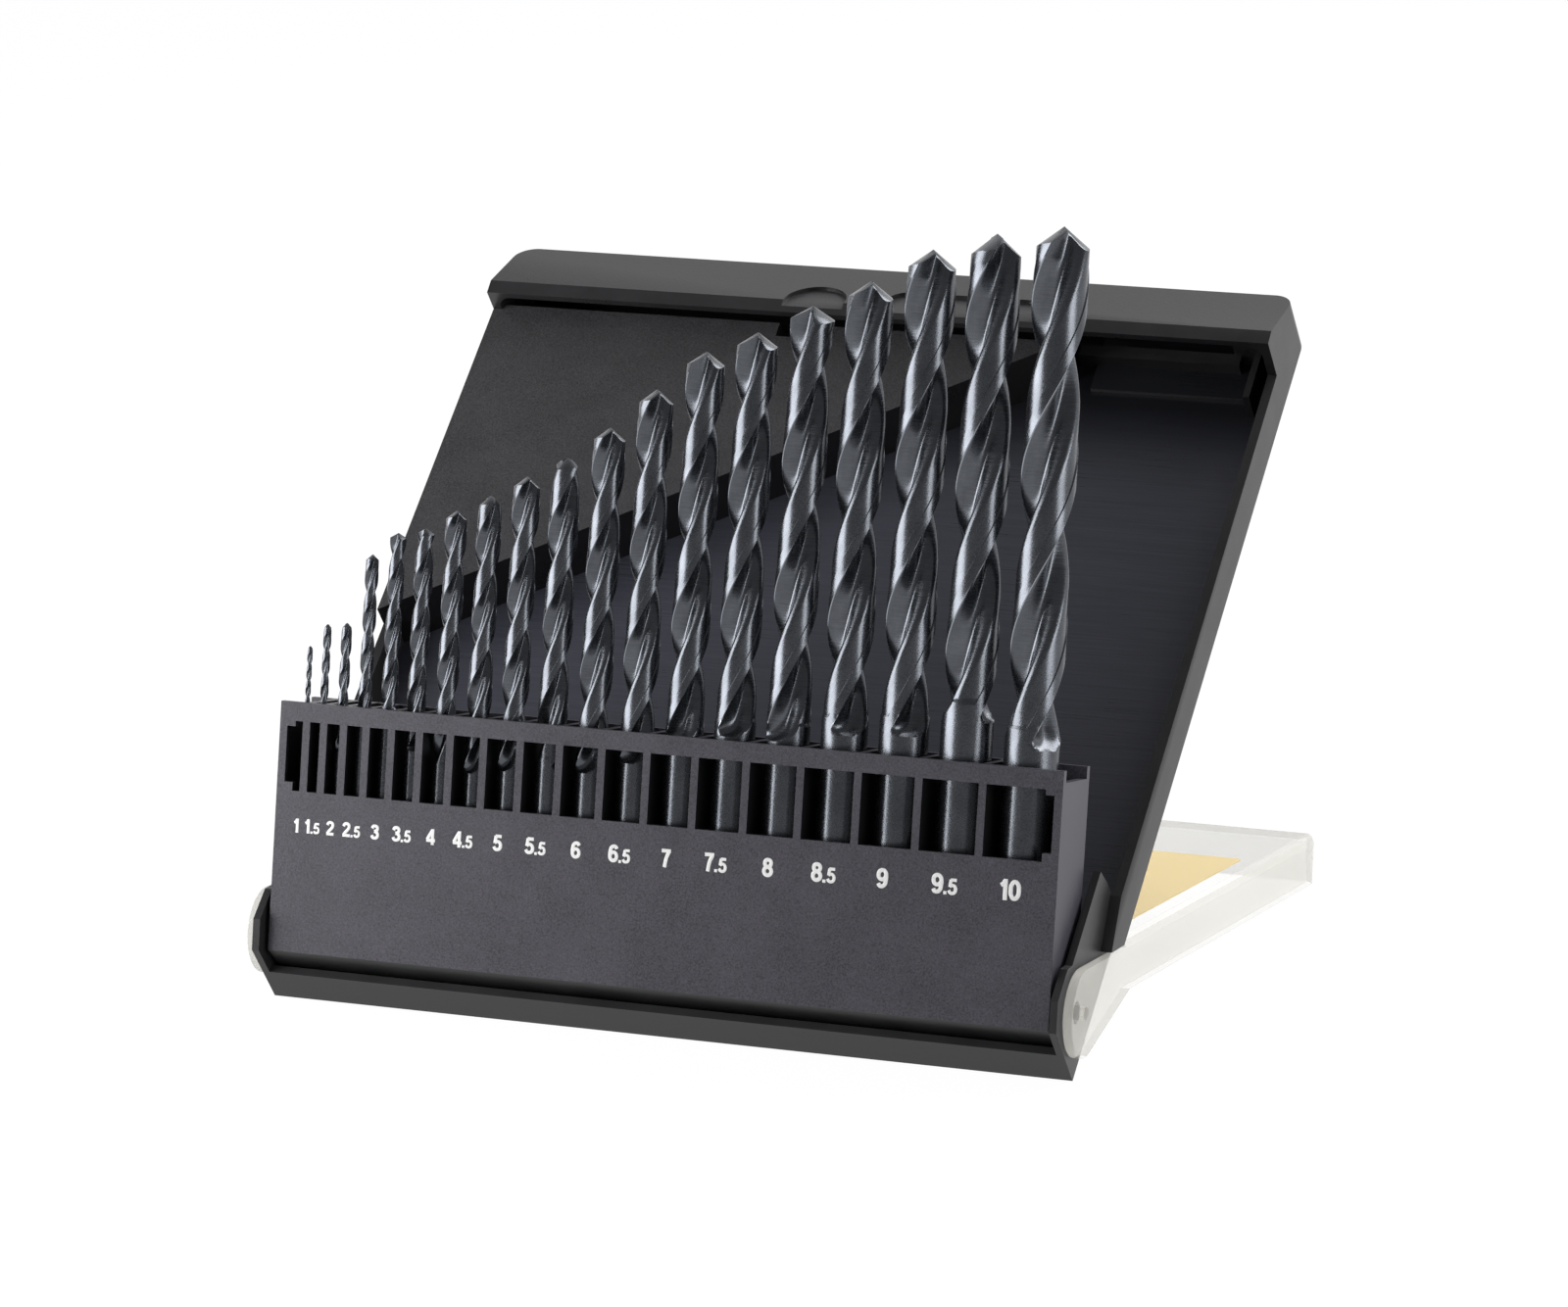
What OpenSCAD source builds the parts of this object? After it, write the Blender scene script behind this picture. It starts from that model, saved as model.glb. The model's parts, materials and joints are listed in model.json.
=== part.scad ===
// Drill bit case: a leaning back shell, a rack that tilts out of it with nineteen
// twist drills, and a clear lid that swings right round to stand behind as a prop.
// Millimetres, +Z up, standing on Z = 0, with the origin under the middle of the case.

/* [Case] */
// Overall width of the shell and of the lid
case_w = 160.8; // [158:0.2:170]
// Length of the shell from its bottom wall to its top wall
shell_len = 174.5; // [172:0.5:186]
// Thickness of the closed case, from the shell's back to the lid's face
case_t = 18.6; // [18.4:0.2:22]
// Depth of the shell's side walls, which is also where the hinge axis lies
rim_depth = 8.8; // [8.6:0.1:9.4]
// Thickness of the side walls
side_wall = 1.8; // [1.4:0.1:2.2]
// Thickness of the shell's floor, top and bottom walls
shell_wall = 1.6; // [1.2:0.1:1.7]
// Angle between the shell and the table when it stands open
shell_tilt = 40.3; // [36:0.1:46]
// Radius of the shell's and the lid's outer corners
corner_r = 4; // [2:0.5:6]

/* [Top band] */
// How far the band reaches down from the top of the shell
band_len = 17.7; // [16:0.1:20]
// Length of the band's blunt lower edge
band_lip = 2.9; // [2:0.1:4]
// Height of the top wall, where the band's slanted face starts
top_wall_h = 11.3; // [9:0.1:13]
// Width of the narrow thumb scoop in the band
narrow_scoop_w = 12.5; // [8:0.5:14]
// Width of the wide thumb scoop
wide_scoop_w = 31; // [26:0.5:34]
// Depth of the thumb scoops
scoop_depth = 0.8; // [0.4:0.1:1.2]
// Height of the thumb scoops above the band's lower edge
scoop_h = 7; // [4:0.5:10]

/* [Raised pad] */
// Height of the pad's face above the back of the shell
pad_h = 13.3; // [12:0.1:13.6]
// Distance of the pad's lowest corner from the bottom of the shell
pad_low = 81; // [78:0.5:84]
// Slope of the pad's lower edge, which follows the points of the drills
pad_slope = 32.9; // [31:0.1:34]
// How far the pad reaches under the band
pad_gap = 1.2; // [0.6:0.1:2]
// Width of the finger notch in the pad's upper edge
notch_w = 11; // [8:0.5:11.5]
// Depth of the finger notch below the band
notch_depth = 2.1; // [1:0.1:3]

/* [Ears] */
// Thickness of the shell's hinge ears
ear_wall = 1.4; // [1:0.1:1.6]
// Height of the ears' front edge, where their outer corner is cut off
ear_cut_h = 14.8; // [12:0.1:16]
// Length of that cut corner along the shell
ear_cut_len = 4.4; // [2:0.1:6]
// How far up the shell the ears keep the full thickness of the case
ear_full_len = 11.3; // [9:0.1:14]
// Distance of the ears' far ends from the bottom of the shell
ear_len = 35; // [33:0.5:40]
// Height of the bottom wall
lip_h = 7.9; // [6:0.1:8]
// Radius of the lid's hinge pins
pin_r = 2; // [1.5:0.1:2.6]
// Radial running clearance of the hinge pins
pin_clear = 0.05; // [0.03:0.01:0.1]

/* [Rack] */
// Gap between the rack's ends and the shell's ears
rack_gap = 0.85; // [0.4:0.05:1.5]
// Height of the rack above the hinge axis
rack_top = 43.5; // [42:0.1:48]
// Distance from the hinge axis to the rack's front face
rack_front = 8.05; // [7.6:0.05:8.2]
// Distance from the hinge axis to the rack's back face
rack_back = 6.85; // [6:0.05:6.9]
// Angle that the rack leans back from upright when it stands open
rack_lean = 9.6; // [5:0.1:20]
// Thickness of the rack's outer walls
rack_wall = 1.5; // [1.2:0.1:2]
// Clearance beside a drill in its cell, before the share that grows with its diameter
cell_clear = 0.4; // [0.3:0.05:0.6]
// Distance from the rack's ends to the first and the last window
window_side = 3.15; // [2.5:0.05:4]
// Distance from the rack's top to its windows
window_top = 3.5; // [2.5:0.1:5]
// Height of the windows
window_h = 12.95; // [10:0.05:15]
// How much lower the end walls are than the front wall
end_drop = 2.2; // [0:0.1:3]

/* [Drills] */
// Distance from the rack's front face to the front of each drill
drill_setback = 2.6; // [2.4:0.1:3]
// Radial clearance of each drill in its socket
socket_clear = 0.15; // [0.1:0.01:0.2]
// Gap between a drill's end and the bottom of its socket
seat_gap = 0.1; // [0.05:0.05:0.3]
// Angle of the flutes' helix
helix_angle = 27; // [24:1:32]
// Angle of the drills' points
point_angle = 118; // [110:1:140]

/* [Lid] */
// Height of the lid's upright side walls
lid_side_h = 8.1; // [7.4:0.1:8.6]
// Thickness of the lid's face
lid_skin = 1.4; // [1:0.1:1.4]
// Radius of the lid's hinge ears
lid_ear_r = 8.1; // [7:0.1:8.5]
// Gap between the lid and what it passes or rests against
lid_gap = 0.3; // [0.2:0.05:0.5]
// Distance from the label card to the lid's side walls
label_edge = 5.6; // [3:0.1:20]
// Length of the label card
label_len = 73.5; // [40:0.5:74]
// Thickness of the label card
label_t = 0.3; // [0.2:0.05:0.4]

/* [Hidden] */
$fn = 64;
eps = 0.01;
over = 1;

// The jobber drills: diameter and overall length by DIN 338, length of the flutes with their
// run-out, how deep each stands in the rack, and which way its flutes happen to face
DRILLS = [
    [1, 34, 12, 23.8, 73], [1.5, 40, 18, 25.5, 138], [2, 49, 24, 34, 82], [2.5, 57, 30, 29, 160],
    [3, 61, 33, 28.7, 42], [3.5, 70, 41, 36.5, 29], [4, 75, 48, 37.8, 8], [4.5, 80, 51, 39.6, 106],
    [5, 86, 54, 41.6, 101], [5.5, 93, 57, 44.6, 5], [6, 93, 63, 38.6, 14], [6.5, 101, 68, 39.1, 18],
    [7, 109, 71, 39.7, 166], [7.5, 109, 73, 35.6, 41], [8, 117, 78.5, 38.2, 10], [8.5, 117, 81.5, 33.1, 99],
    [9, 125, 87, 34.8, 102], [9.5, 125, 83.5, 31.3, 166], [10, 133, 90, 37.3, 147]
];
function drill_d(i) = DRILLS[i][0];
function drill_len(i) = DRILLS[i][1];
function flute_len(i) = DRILLS[i][2];
function seat_depth(i) = DRILLS[i][3];
function flute_turn(i) = DRILLS[i][4];

// Where things stand: Y runs up the shell and Z out of it in the case's own frame
half_w = case_w / 2;
hinge = rim_depth;
hinge_y = hinge * (cos(shell_tilt) - sin(shell_tilt));
hinge_z = hinge * (cos(shell_tilt) + sin(shell_tilt));
band_start = shell_len - band_len;
lid_len = band_start - hinge - lid_gap;
lid_tilt = asin(hinge_z / lid_len);
lid_h = case_t - rim_depth;
front_reach = hinge_y + ear_cut_h * sin(shell_tilt);
back_reach = lid_len * cos(lid_tilt) + lid_side_h * sin(lid_tilt);
hinge_place = [0, (front_reach - back_reach) / 2, hinge_z];
lip_place = hinge_place - [0, hinge_y, hinge_z];

module case_pose() {
    translate(lip_place) rotate([shell_tilt, 0, 0]) children();
}

module rack_pose() {
    translate(hinge_place) rotate([-rack_lean, 0, 0]) children();
}

module lid_pose() {
    translate(hinge_place) rotate([-lid_tilt, 0, 0]) children();
}

// A side outline, drawn along and out, stretched across the width
module across(width) {
    rotate([90, 0, 90]) linear_extrude(width, center = true) children();
}

// The same outline as a plate that runs from x0 to x1
module plate_at(x0, x1) {
    translate([(x0 + x1) / 2, 0, 0]) across(abs(x1 - x0)) children();
}

module on_both_sides() {
    children();
    mirror([1, 0, 0]) children();
}

// What is cut off the two far corners of a plan of this width and length
module corner_cutters(half, length, height) {
    on_both_sides() difference() {
        translate([half - corner_r, length - corner_r, -over])
            cube([corner_r + over, corner_r + over, height + 2 * over]);
        translate([half - corner_r, length - corner_r, -2 * over])
            cylinder(r = corner_r, h = height + 4 * over);
    }
}

// ---- Back shell -------------------------------------------------------------------------
ear_gap = 0.3;
ear_out = half_w - side_wall - ear_gap;
ear_in = ear_out - ear_wall;
step_start = 24.6;
step_foot = 30;
lid_step = 25.7;
rack_w = 2 * (ear_in - rack_gap);
pin_reach = rack_gap + rack_wall;
ear_h = case_t - lid_skin - lid_gap;
tray_in = half_w - side_wall;
tray_top = shell_len - shell_wall;
pad_top = band_start + pad_gap;
pad_right = -half_w + (pad_top - pad_low) / tan(pad_slope);
rib_t = 1.3;
rib_h = rim_depth - 0.8;
scoop_mid = -2;
scoop_space = 8;
wide_round_r = 3.6;
notch_left = -20;
notch_cut = 3;
fillet_r = 3;

// Where the straight flank of the lid's ear leaves its round end
flank = acos(lid_ear_r / lid_step);
flank_point = lid_ear_r * [cos(flank), -sin(flank)];

module ear_outline() {
    polygon([
        [0, 0], [0, ear_cut_h], [ear_cut_len, case_t], [ear_full_len, case_t], [ear_full_len + 2, ear_h],
        [ear_len - 1, ear_h], [ear_len, ear_h - 5], [ear_len + 0.8, 0]
    ]);
}

module shell_outline() {
    polygon([
        [step_foot, 0], [shell_len - 0.8, 0], [shell_len, 0.8], [shell_len, top_wall_h],
        [band_start + band_lip, case_t], [band_start, case_t - 0.3], [band_start, rim_depth],
        [hinge + lid_step, rim_depth],
        [step_start, rim_depth - (hinge + lid_step - step_start) / tan(flank) - lid_gap]
    ]);
}

module band_hollow() {
    polygon([
        [band_start - over, shell_wall], [tray_top, shell_wall], [tray_top, top_wall_h - 1],
        [band_start + band_lip - 0.6, case_t - shell_wall], [band_start - over, case_t - shell_wall - 0.1]
    ]);
}

// What rounds the hollow's two corners under the band
module band_fillets() {
    on_both_sides() translate([tray_in - fillet_r, band_start - over, case_t - shell_wall - fillet_r])
        rotate([-90, 0, 0]) difference() {
            translate([0, -fillet_r - over, 0]) cube([fillet_r + over, fillet_r + over, band_len]);
            translate([0, 0, -over]) cylinder(r = fillet_r, h = band_len + 2 * over);
        }
}

// Plan of the raised pad, drawn in by one margin at its side and its slanted edge, and by another
// at its upper edge
module pad_plan(inset = 0, top_inset = 0) {
    shift = inset / cos(pad_slope);
    polygon([
        [-half_w + inset, pad_low + shift + inset * tan(pad_slope)],
        [pad_right - (shift + top_inset) / tan(pad_slope), pad_top - top_inset],
        [-half_w + inset, pad_top - top_inset]
    ]);
}

module thumb_scoop(x, width, round_r) {
    slant = atan((case_t - top_wall_h) / (band_len - band_lip));
    translate([x, band_start + band_lip, case_t]) rotate([-slant, 0, 0]) translate([0, 0, -scoop_depth]) {
        translate([-width / 2, -2 * over, 0]) cube([width, scoop_h - round_r + 2 * over, 3]);
        translate([-width / 2 + round_r, 0, 0]) cube([width - 2 * round_r, scoop_h, 3]);
        for (side = [-1, 1])
            translate([side * (width / 2 - round_r), scoop_h - round_r, 0]) cylinder(r = round_r, h = 3);
    }
}

// A low step in the tray's floor, a rail under the band and a hooked rib in the corner
module tray_ribs() {
    step_x = pad_right + 3.4;
    translate([step_x, band_start - 1.1, 0]) cube([tray_in + eps - step_x, band_len - 0.5, shell_wall + 0.8]);
    translate([pad_right - eps, band_start + 4.9, 0]) cube([tray_in - 7.6 - pad_right, 2.8, 5]);
    translate([tray_in - 4, band_start - 5, 0]) cube([rib_t, 13.7, rib_h]);
    translate([tray_in - 9, band_start + 7.4, 0]) cube([5 + eps, rib_t, rib_h]);
}

module back_shell() {
    color([0.13, 0.13, 0.14]) case_pose() {
        tray_ribs();
        difference() {
            union() {
                across(case_w) shell_outline();
                linear_extrude(pad_h) pad_plan();
                on_both_sides() plate_at(ear_in, ear_out) ear_outline();
                translate([-ear_out, 0, 0]) cube([2 * ear_out, step_foot + over, shell_wall]);
                translate([-ear_out, 0, 0]) cube([2 * ear_out, shell_wall, lip_h]);
            }
            // the open tray, narrower between the ears
            difference() {
                union() {
                    translate([-ear_in, shell_wall, shell_wall]) cube([2 * ear_in, ear_len, case_t]);
                    translate([-tray_in, ear_len + 1, shell_wall])
                        cube([2 * tray_in, band_start - ear_len - 1 + eps, case_t]);
                }
                linear_extrude(pad_h) pad_plan();
            }
            difference() {
                across(2 * tray_in) band_hollow();
                linear_extrude(pad_h) pad_plan();
                band_fillets();
            }
            translate([notch_left, band_start - notch_depth, pad_h - notch_cut])
                cube([notch_w, pad_gap + notch_depth + eps, notch_cut]);
            // the pad is hollow from behind
            translate([0, 0, -over]) linear_extrude(pad_h - shell_wall + over)
                pad_plan(side_wall, pad_gap + notch_depth + side_wall);
            corner_cutters(half_w, shell_len, case_t);
            thumb_scoop(scoop_mid - (scoop_space + narrow_scoop_w) / 2, narrow_scoop_w, narrow_scoop_w / 2 - eps);
            thumb_scoop(scoop_mid + (scoop_space + wide_scoop_w) / 2, wide_scoop_w, wide_round_r);
            on_both_sides() translate([ear_in - over, hinge, hinge]) rotate([0, 90, 0])
                cylinder(r = pin_r + pin_clear, h = ear_wall + 2 * over);
        }
    }
}

// ---- Rack -------------------------------------------------------------------------------
count = len(DRILLS);
last = count - 1;
cell_share = 1.07;
function cell_w(i) = cell_share * drill_d(i) + cell_clear;
function cells_w(i) = i < 0 ? 0 : cell_w(i) + cells_w(i - 1);
row_w = rack_w - 2 * window_side;
bar_w = (row_w - cells_w(last)) / last;
function cell_left(i) = -row_w / 2 + cells_w(i - 1) + i * bar_w;
function drill_x(i) = cell_left(i) + cell_w(i) / 2;
function drill_y(i) = -rack_front + drill_setback + drill_d(i) / 2;
function socket_floor(i) = rack_top - seat_depth(i);
inner_end = rack_w / 2 - rack_wall;
inner_front = -rack_front + rack_wall;
inner_back = rack_back - rack_wall;
cell_floor = rack_top - window_top - window_h - 1.1;
floor_t = 1.5;
foot_r = 6.7;
foot_drop = 2.8;
mouth_y = -2.2;
toe_y = 3;
notch_top = 1;
notch_foot = 1.6;

module rack_outline() {
    translate([0, 0]) circle(r = foot_r);
    polygon([
        [-rack_front, -foot_drop], [-4.3, -5.1], [0, -foot_r], [foot_r, 0], [rack_back, 0],
        [rack_back, rack_top], [-rack_front, rack_top]
    ]);
}

// The open cell above the sockets, run out to the end wall in the first and the last
module upper_cell(i) {
    x0 = i == 0 ? -inner_end : cell_left(i);
    x1 = i == last ? inner_end : cell_left(i) + cell_w(i);
    translate([x0, inner_front, cell_floor]) cube([x1 - x0, inner_back - inner_front, rack_top]);
}

module window(i) {
    translate([cell_left(i), -rack_front - over, rack_top - window_top - window_h])
        cube([cell_w(i), rack_wall + 2 * over, window_h]);
}

module socket(i) {
    translate([drill_x(i), drill_y(i), socket_floor(i)])
        cylinder(d = drill_d(i) + 2 * socket_clear, h = rack_top);
}

// Hollows moulded from below: under each socket, and behind the sockets of the small drills
module lower_hollow(i) {
    behind = drill_y(i) + drill_d(i) / 2 + socket_clear + floor_t;
    front = -rack_front + drill_setback - socket_clear;
    translate([cell_left(i), mouth_y, -2 * foot_r])
        cube([cell_w(i), toe_y - mouth_y, min(socket_floor(i) - floor_t, 0) + 2 * foot_r]);
    if (socket_floor(i) > floor_t)
        translate([cell_left(i), front, -eps])
            cube([cell_w(i), inner_back - front, socket_floor(i) - floor_t + eps]);
    if (inner_back - behind > 1)
        translate([cell_left(i), behind, 0])
            cube([cell_w(i), inner_back - behind, cell_floor - floor_t]);
}

module bit_rack() {
    color([0.2, 0.2, 0.21]) rack_pose() difference() {
        across(rack_w) rack_outline();
        for (i = [0:last]) {
            upper_cell(i);
            window(i);
            socket(i);
            lower_hollow(i);
        }
        // side notches of the two end windows
        for (side = [-1, 1])
            translate([side > 0 ? row_w / 2 - eps : -inner_end, -rack_front - over,
                rack_top - window_top - window_h + notch_foot])
                cube([inner_end - row_w / 2 + eps, rack_wall + 2 * over, window_h - notch_foot - notch_top]);
        // the end walls stop lower than the front and back walls
        on_both_sides() translate([inner_end - over, inner_front, rack_top - end_drop])
            cube([rack_wall + 2 * over, inner_back - inner_front, end_drop + over]);
        on_both_sides() translate([inner_end - over, 0, 0]) rotate([0, 90, 0])
            cylinder(r = pin_r + pin_clear, h = rack_wall + 2 * over);
    }
}

// ---- Drills -----------------------------------------------------------------------------
// Half of the fluted section, as an angle and a share of the radius: the relieved land, the margin
// along its leading edge, and the flute
FULL_SECTION = [
    [0, 0.93], [40, 0.945], [74, 0.94], [78, 1], [90, 1], [99, 0.66], [117, 0.34], [142, 0.31], [166, 0.6]
];
SMALL_SECTION = [[0, 0.93], [44, 0.96], [90, 1], [108, 0.4], [146, 0.36]];
full_from_d = 5;
lead = 90;
lip_end = 134;
relief = 0.21;

function section_of(i) = drill_d(i) < full_from_d ? SMALL_SECTION : FULL_SECTION;
function whole_section(half) = concat(half, [for (p = half) [p[0] + 180, p[1]]]);
function pitch(i) = PI * drill_d(i) / tan(helix_angle);
function flute_start(i) = drill_len(i) - flute_len(i);
function runout(i) = 1.2 * drill_d(i);

// How far the grinding wheel has risen out of the flute at a height, as a share of the radius
function wheel_lift(i, z) = 0.75 * pow(max(0, flute_start(i) + runout(i) - z) / runout(i), 2);
function flute_point(i, p, z) =
    let (r = 0.5 * drill_d(i) * min(0.985, p[1] + wheel_lift(i, z)), a = p[0] + flute_turn(i) + 360 * z / pitch(i))
    [r * cos(a), r * sin(a), z];

// The point's flanks fall away from the cutting lips, which lie on its cone
function behind_lip(a) = a <= lead ? lead - a : a <= lip_end ? 0 : lead + 180 - a;
function tip_point(i, p) =
    let (r = 0.5 * drill_d(i) * p[1], fall = 1 / tan(point_angle / 2) + relief * behind_lip(p[0] % 180) * PI / 180)
    flute_point(i, p, drill_len(i) - r * fall);

module fluted_body(i, steps) {
    section = whole_section(section_of(i));
    n = len(section);
    z0 = flute_start(i);
    z1 = drill_len(i) - 0.55 * drill_d(i);
    rings = [for (k = [0:steps]) [for (p = section) flute_point(i, p, z0 + (z1 - z0) * k / steps)]];
    tip = [for (p = section) tip_point(i, p)];
    points = [for (ring = concat(rings, [tip])) for (p = ring) p];
    apex = len(points);
    sides = [
        for (k = [0:steps]) for (j = [0:n - 1])
            let (a = k * n + j, b = k * n + (j + 1) % n)
            for (face = [[a, a + n, b], [b, a + n, b + n]]) face
    ];
    foot = [for (j = [1:n - 2]) [0, j, j + 1]];
    crown = [for (j = [0:n - 1]) [(steps + 1) * n + j, apex, (steps + 1) * n + (j + 1) % n]];
    polyhedron(concat(points, [[0, 0, drill_len(i)]]), concat(foot, sides, crown), convexity = 6);
}

module shank(i) {
    r = drill_d(i) / 2;
    chamfer = 0.08 * drill_d(i);
    rotate_extrude() polygon([
        [0, 0], [r - chamfer, 0], [r, chamfer], [r, flute_start(i) + 0.3], [0, flute_start(i) + 0.3]
    ]);
}

module drill(i) {
    color([0.22, 0.25, 0.28]) rack_pose()
        translate([drill_x(i), drill_y(i), socket_floor(i) + seat_gap]) {
            shank(i);
            fluted_body(i, drill_d(i) < full_from_d ? 20 : 22);
        }
}

// ---- Lid --------------------------------------------------------------------------------
// Distance from the hinge axis to the lid's near edge, which leans on the back of the open shell
open_angle = shell_tilt + lid_tilt;
lid_start = (lid_h * cos(open_angle) + hinge + lid_gap) / sin(open_angle);
shoulder = lid_h - lid_side_h;
pad_relief = pad_h - rim_depth + lid_gap;
label_near = lid_start + 23.4;

module lid_section() {
    polygon([
        [-half_w, 0], [-half_w, lid_side_h], [-half_w + shoulder, lid_h],
        [half_w - shoulder, lid_h], [half_w, lid_side_h], [half_w, 0]
    ]);
}

module along(y0, y1) {
    translate([0, y1, 0]) rotate([90, 0, 0]) linear_extrude(y1 - y0) children();
}

module lid_ear_outline() {
    circle(r = lid_ear_r);
    polygon([[0, lid_ear_r], [lid_start + 1, lid_side_h], [lid_start + 1, 0], [lid_step, 0], flank_point, [0, 0]]);
    square([lid_step, lid_side_h]);
}

module clear_lid() {
    color([0.9, 0.92, 0.94, 0.5]) lid_pose() {
        difference() {
            along(lid_start, lid_len) lid_section();
            translate([-tray_in, lid_start - over, -over])
                cube([2 * tray_in, lid_len - side_wall - lid_start + over, lid_h - lid_skin + over]);
            corner_cutters(half_w, lid_len, lid_h);
            // sloped shoulder along the far end
            translate([0, lid_len, lid_side_h]) across(case_w + 2) polygon([
                [0, 0], [over, -over], [over, shoulder + over], [-shoulder, shoulder + over], [-shoulder, shoulder]
            ]);
            // the rim is cut back where the closed lid passes the raised pad
            translate([-half_w - over, pad_low - hinge - lid_gap, -over])
                cube([side_wall + 2 * over, lid_len, pad_relief + over]);
            translate([-half_w - over, lid_len - side_wall - over, -over])
                cube([half_w + pad_right + 2 * over, side_wall + 2 * over, pad_relief + over]);
        }
        on_both_sides() difference() {
            union() {
                plate_at(half_w - side_wall, half_w) lid_ear_outline();
                translate([half_w - side_wall - ear_gap - ear_wall - pin_reach + 0.4, 0, 0]) rotate([0, 90, 0])
                    cylinder(r = pin_r, h = pin_reach + ear_wall + ear_gap + side_wall - 0.4);
            }
            translate([half_w - 1, 0, 0]) rotate([0, 90, 0]) cylinder(r = 0.6 * pin_r, h = 2);
        }
    }
}

module label_card() {
    label_w = 2 * (tray_in - label_edge);
    color([0.93, 0.86, 0.66]) lid_pose()
        translate([-label_w / 2, label_near, lid_h - lid_skin - label_t])
            cube([label_w, label_len, label_t]);
}

back_shell();
bit_rack();
clear_lid();
label_card();
drill(0);  // drill_1_0
drill(1);  // drill_1_5
drill(2);  // drill_2_0
drill(3);  // drill_2_5
drill(4);  // drill_3_0
drill(5);  // drill_3_5
drill(6);  // drill_4_0
drill(7);  // drill_4_5
drill(8);  // drill_5_0
drill(9);  // drill_5_5
drill(10);  // drill_6_0
drill(11);  // drill_6_5
drill(12);  // drill_7_0
drill(13);  // drill_7_5
drill(14);  // drill_8_0
drill(15);  // drill_8_5
drill(16);  // drill_9_0
drill(17);  // drill_9_5
drill(18);  // drill_10_0
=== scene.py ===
"""The looks of a standing drill bit case: black mouldings, a clear lid and nineteen drills."""

import json
import math
import bpy
from bpy.props import FloatProperty, FloatVectorProperty, IntProperty, PointerProperty
from mathutils import Matrix, Vector


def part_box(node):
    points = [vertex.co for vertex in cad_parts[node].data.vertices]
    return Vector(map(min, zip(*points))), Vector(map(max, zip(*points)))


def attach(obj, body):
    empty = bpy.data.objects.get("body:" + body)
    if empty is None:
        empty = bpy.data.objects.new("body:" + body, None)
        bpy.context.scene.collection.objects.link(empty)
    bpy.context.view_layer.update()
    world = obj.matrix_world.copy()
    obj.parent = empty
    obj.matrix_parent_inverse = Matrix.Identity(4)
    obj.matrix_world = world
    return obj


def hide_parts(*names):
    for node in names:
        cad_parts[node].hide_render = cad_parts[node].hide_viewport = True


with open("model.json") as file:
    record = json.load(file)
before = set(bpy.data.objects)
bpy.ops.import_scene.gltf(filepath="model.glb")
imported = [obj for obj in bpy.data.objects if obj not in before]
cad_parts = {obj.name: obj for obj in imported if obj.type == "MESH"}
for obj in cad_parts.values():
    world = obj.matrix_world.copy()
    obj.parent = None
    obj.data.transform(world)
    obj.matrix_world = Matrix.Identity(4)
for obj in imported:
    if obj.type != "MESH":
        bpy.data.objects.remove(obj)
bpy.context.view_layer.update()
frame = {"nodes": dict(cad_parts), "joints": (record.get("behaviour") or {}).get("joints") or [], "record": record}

bl_info = {
    "name": "Drill Bit Case",
    "version": (1, 0, 0),
    "blender": (4, 5, 0),
    "location": "3D View > Sidebar > Drill Case",
    "description": "Dresses the mouldings, the drills and the size numbers of a drill bit case",
    "category": "Object",
}

MM = 0.001
WELD = 0.002 * MM
EDGE_ANGLE = math.radians(28)
FLAT_ANGLE = math.radians(0.3)

# The drills from left to right, with the length of their flutes in mm and the turn of their flutes
# in degrees about the drill's own axis.
DRILLS = {
    "1_0": (12, 79), "1_5": (18, 144), "2_0": (24, 88), "2_5": (30, 166), "3_0": (33, 48),
    "3_5": (41, 35), "4_0": (48, 14), "4_5": (51, 112), "5_0": (54, 107), "5_5": (57, 11),
    "6_0": (63, 20), "6_5": (68, 24), "7_0": (71, 172), "7_5": (73, 47), "8_0": (78.5, 16),
    "8_5": (81.5, 104), "9_0": (87, 105), "9_5": (87, 176), "10_0": (93, 145),
}

# Half of a drill's section as an angle and a share of the radius: the relieved land from its heel,
# the margin along the leading edge, and the flute.
HALF_SECTION = [
    (0, 0.925), (3, 0.944), (10, 0.95), (20, 0.95), (30, 0.95), (40, 0.95), (48, 0.95),
    (51.5, 0.95), (53.5, 0.995), (60, 1), (68, 1), (76.5, 1), (78.5, 0.965), (82, 0.84),
    (86, 0.7), (91, 0.57), (97, 0.46), (104, 0.38), (112, 0.33), (121, 0.3), (131, 0.3),
    (140, 0.32), (147, 0.37), (153, 0.46), (158, 0.58), (162, 0.69), (166, 0.78), (170, 0.85),
    (175, 0.9),
]
LEADING_EDGE = 76.5
FLUTE_START = 78.5
LIP_END = 121

# How far above the flute's foot the relieved land ends, and how far above its middle the flute's
# sides end, both in radii. The width is in degrees, as are the angles above.
LAND_END = 0.8
SPOON_ROUND = 0.6
SPOON_HALF_WIDTH = 60
FLUTE_END = 172

# Other measures of a drill in radii: the shoulder below the tip, the run-out of the flutes, the
# chamfer of the shank's end and the share of the radius left there. The relief is the fall of the
# point's cone per radian behind the lip.
SHOULDER = 1.1
RUNOUT = 1.3
RUNOUT_RINGS = 14
CHAMFER = 0.16
CHAMFERED_END = 0.84
RELIEF = 0.21
DRILL_EDGE_ANGLE = math.radians(33)

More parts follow.
